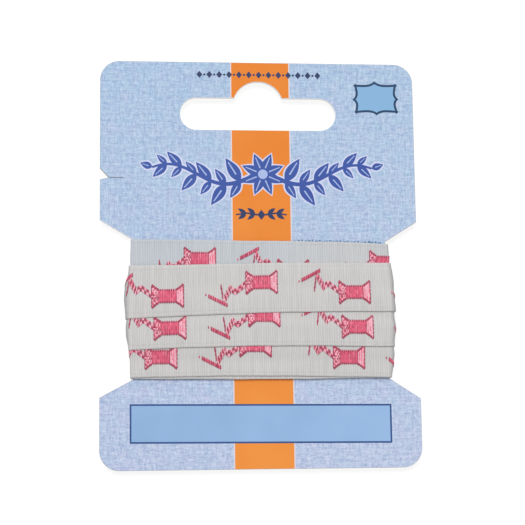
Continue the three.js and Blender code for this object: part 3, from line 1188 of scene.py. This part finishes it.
def cuts(item, number):
    """A float's height cut into lengths that can follow the cloth. Neighbours are cut at other heights."""
    tuck = SPINDLE["Overlap"] / 2 - TIP
    low, high = item.low + tuck, item.high - tuck
    count = max(1, round((high - low) / FLOAT_LENGTH))
    size = (high - low) / count
    shift = (number * GOLDEN % 1 - 0.5) * CUT_SHIFT
    inner = [low + size * (i + shift) for i in range(1, count)]
    return [low, *inner, high]


def float_marks():
    """One mark for each length of float that shows: its point, its run, its way out and its tone."""
    chance = random.Random(SEED)
    marks = []
    for home, flip in reel_places():
        for number, item in enumerate(CHART):
            distance = home + item.u
            if not END_CLEAR < distance < RIBBON_LENGTH - END_CLEAR:
                continue
            heights = cuts(item, number)
            for low, high in zip(heights, heights[1:]):
                tone = TONE[item.tone] + chance.uniform(-TONE_SPREAD, TONE_SPREAD)
                i, start, along, width = surface(distance, low * flip)
                end = surface(distance, high * flip)[1]
                middle = (start + end) / 2
                if not is_buried(ROUTE[i], middle):
                    out = along.cross(width)
                    marks.append(Mark(middle + out * item.raised, end - start, out, tone))
    return marks


MARKS = float_marks()
print(len(reel_places()), "reels,", len(MARKS), "floats that show")

# %% [markdown]
# ## Laying the floats
#
# The marks are bare points with named attributes. The tree puts a small spindle on each one, turns its
# length along the float and its back away from the cloth, and stretches it to the float's size. The tone
# goes along as an attribute, so one material serves the dark outlines, the deep pink and the pale fill.

# %% The float's material and tree
BEAD = {"Segments": 6, "Rings": 3, "Radius": 0.5}


def pink_yarn():
    finish = Finish("pink_yarn", {"Specular IOR Level": 0.2, "Sheen Weight": 0.08, "Roughness": 0.65})
    tone = finish.node("ShaderNodeAttribute", {"attribute_name": "tone"}, output="Fac")
    x, y, z = finish.place()
    strand = finish.noise(x * 6, y * 6, z * 6)
    dark = finish.blend(tone.between(0, 0.5), srgb(170, 46, 82), srgb(238, 98, 130))
    colour = finish.blend(tone.between(0.5, 1), dark, srgb(250, 194, 208))
    finish.feed({"Base Color": finish.blend(strand * 0.16, colour, srgb(250, 200, 212))})
    finish.relief(strand, 0.02)
    return finish.material


def new_tree(name, inputs):
    """An empty geometry tree with a mesh going in and out and named number inputs."""
    tree = bpy.data.node_groups.new(name, "GeometryNodeTree")
    tree.interface.new_socket("Geometry", in_out="INPUT", socket_type="NodeSocketGeometry")
    tree.interface.new_socket("Geometry", in_out="OUTPUT", socket_type="NodeSocketGeometry")
    sockets = {}
    for label, kind in inputs.items():
        sockets[label] = tree.interface.new_socket(label, in_out="INPUT", socket_type=kind).identifier
    return tree, sockets


def end_tree(wiring, geometry, material):
    """Instances become one real mesh with a material. Under the card they are pressed flat on the table."""
    real = wiring.node("GeometryNodeRealizeInstances", inputs={"Geometry": geometry})
    place = wiring.node("ShaderNodeSeparateXYZ", inputs={0: wiring.node("GeometryNodeInputPosition")})
    lowest = place.part("Z").math("MAXIMUM", LOWEST * MM)
    sides = {"X": place, "Y": place.part("Y"), "Z": lowest}
    spot = wiring.node("ShaderNodeCombineXYZ", inputs=sides)
    pressed = wiring.node("GeometryNodeSetPosition", inputs={"Geometry": real, "Position": spot})
    soft = wiring.node("GeometryNodeSetShadeSmooth", inputs={"Geometry": pressed})
    done = wiring.node("GeometryNodeSetMaterial", inputs={"Geometry": soft, "Material": material})
    out = wiring.tree.nodes.new("NodeGroupOutput")
    wiring.connect(done, out.inputs["Geometry"])


def grow_tree(piece, tree, values):
    """Runs a tree on a piece and keeps the result as its plain mesh."""
    modifier = piece.modifiers.new(tree.name, "NODES")
    modifier.node_group = tree
    for identifier, value in values.items():
        modifier[identifier] = value
    evaluated = piece.evaluated_get(bpy.context.evaluated_depsgraph_get())
    mesh = bpy.data.meshes.new_from_object(evaluated)
    piece.modifiers.clear()
    piece.data = mesh
    return piece


def lay_beads(wiring, points, along, out, size, material):
    """Ends a tree with a bead on each point, its length turned along one way and its back to another."""
    bead = wiring.node("GeometryNodeMeshUVSphere", inputs=BEAD)
    facing = {"Primary Axis": along, "Secondary Axis": out}
    turn = wiring.node("FunctionNodeAxesToRotation", {"primary_axis": "Z", "secondary_axis": "Y"}, facing)
    laid = {"Points": points, "Instance": bead, "Rotation": turn, "Scale": size}
    end_tree(wiring, wiring.node("GeometryNodeInstanceOnPoints", inputs=laid), material)


def named_vector(wiring, name):
    settings = {"data_type": "FLOAT_VECTOR"}
    return wiring.node("GeometryNodeInputNamedAttribute", settings, {"Name": name})


def spindle_tree(material):
    tree, sockets = new_tree("lay_floats", {name: "NodeSocketFloat" for name in SPINDLE})
    wiring = Wiring(tree)
    source = wiring.node("NodeGroupInput")
    run = named_vector(wiring, "run")
    length = wiring.node("ShaderNodeVectorMath", {"operation": "LENGTH"}, {0: run}, output="Value")
    sides = {"X": source.part("Width"), "Y": source.part("Height"), "Z": length + source.part("Overlap")}
    size = wiring.node("ShaderNodeCombineXYZ", inputs=sides)
    lay_beads(wiring, source, run, named_vector(wiring, "out"), size, material)
    return tree, sockets


def woven_reels():
    reels = add_piece("woven_reels", [mark.point for mark in MARKS], [], [])
    add_numbers(reels.data, "run", "FLOAT_VECTOR", [mark.run * MM for mark in MARKS])
    add_numbers(reels.data, "out", "FLOAT_VECTOR", [mark.out for mark in MARKS])
    add_numbers(reels.data, "tone", "FLOAT", [mark.tone for mark in MARKS])
    tree, sockets = spindle_tree(pink_yarn())
    values = {sockets[name]: size * MM for name, size in SPINDLE.items()}
    return grow_tree(reels, tree, values)


reels = woven_reels()
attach(reels, "root")
print("woven reels:", len(reels.data.polygons), "faces")

# %% [markdown]
# ## The selvage
#
# Along both edges, each weft turns round the outermost warp and goes back, and leaves a tiny loop. They
# are what makes a ribbon's edge look like cloth and not like paper. A scalloped outline would need a very
# fine strip, so the two edges are drawn as lines, and a tree strings small beads along them at the pitch
# of the wefts.

# %% String the selvage loops
LOOP = {"pitch": RIB_PITCH, "length": 0.5, "thick": 0.2, "inset": 0.05}


def edge_lines():
    """The two edges of the ribbon as lines of points."""
    points, edges = [], []
    for row, inward in ((0, 1), (ACROSS, -1)):
        start = len(points)
        points += [outer[row] + Vector((0, inward * LOOP["inset"], 0)) for outer in OUTER]
        edges += [(i, i + 1) for i in range(start, len(points) - 1)]
    return points, edges


def bead_tree(material):
    tree, sockets = new_tree("string_loops", {"Pitch": "NodeSocketFloat", "Size": "NodeSocketVector"})
    wiring = Wiring(tree)
    source = wiring.node("NodeGroupInput")
    curve = wiring.node("GeometryNodeMeshToCurve", inputs={"Mesh": source})
    spaced = {"Curve": curve, "Length": source.part("Pitch")}
    dots = wiring.node("GeometryNodeResampleCurve", {"mode": "LENGTH"}, spaced)
    tangent = wiring.node("GeometryNodeInputTangent")
    lay_beads(wiring, dots, tangent, (0, 1, 0), source.part("Size"), material)
    return tree, sockets


def loop_cotton():
    finish = Finish("loop_cotton", {"Specular IOR Level": 0.2, "Roughness": 0.85})
    x, y, z = finish.place()
    twist = finish.noise(x * 5, y * 5, z * 5)
    finish.feed({"Base Color": finish.blend(twist, srgb(192, 190, 189), srgb(220, 217, 213))})
    finish.relief(twist, 0.02)
    return finish.material


def selvage_loops():
    points, edges = edge_lines()
    loops = add_piece("selvage_loops", points, [], [], edges=edges)
    tree, sockets = bead_tree(loop_cotton())
    size = tuple(LOOP[side] * MM for side in ("thick", "thick", "length"))
    return grow_tree(loops, tree, {sockets["Pitch"]: LOOP["pitch"] * MM, sockets["Size"]: size})


loops = selvage_loops()
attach(loops, "root")
round(RIBBON_LENGTH * MM, 3)
print("selvage loops:", len(loops.data.polygons), "faces")

# %% [markdown]
# ## Table and light
#
# The card lies on a plain white table under broad, even light, with a little more of it from above the
# card's head, so that the lower edge of each band draws a fine shadow on the next. A sun would draw it hard.
# A large lamp and an even white surround keep it soft, and a glow of the table's own keeps it white without
# more light on the card. The plain colour transform keeps the inks as they were mixed.

# %% Set the table and the light
WHITE = (1, 1, 1, 1)
TABLE_SIZE = 3
TABLE_DROP = 0.1
TABLE_GREYS = (0.3, 0.33)
TABLE_GLOW = 0.75
SURROUND = 0.48
LAMP = {"power": 28, "size": 1.1, "place": (-0.3, 0.9, 1.9)}


def table():
    half = TABLE_SIZE / 2 / MM
    finish = Finish("white_table", {"Roughness": 0.9, "Specular IOR Level": 0.1})
    x, y, z = finish.place()
    cloud = finish.noise(x * 0.004, y * 0.004, z)
    greys = [(grey, grey, grey, 1) for grey in TABLE_GREYS]
    finish.feed({"Base Color": finish.blend(cloud, *greys)})
    finish.feed({"Emission Color": WHITE, "Emission Strength": TABLE_GLOW})
    corners = [(x, y, -TABLE_DROP) for x, y in rectangle(-half, -half, half, half)]
    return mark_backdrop(add_piece("table", corners, [(0, 1, 2, 3)], [finish.material]))


def lights():
    scene = bpy.context.scene
    scene.view_settings.view_transform = "Standard"
    world = bpy.data.worlds.new("surround")
    world.use_nodes = True
    backdrop = world.node_tree.nodes["Background"]
    backdrop.inputs["Color"].default_value = WHITE
    backdrop.inputs["Strength"].default_value = SURROUND
    scene.world = world
    data = bpy.data.lights.new("soft_lamp", "AREA")
    data.energy = LAMP["power"]
    data.size = LAMP["size"]
    lamp = bpy.data.objects.new("soft_lamp", data)
    lamp.location = LAMP["place"]
    lamp.rotation_euler = (-Vector(LAMP["place"])).to_track_quat("-Z", "Y").to_euler()
    scene.collection.objects.link(lamp)


table()
lights()
print("table and light set")
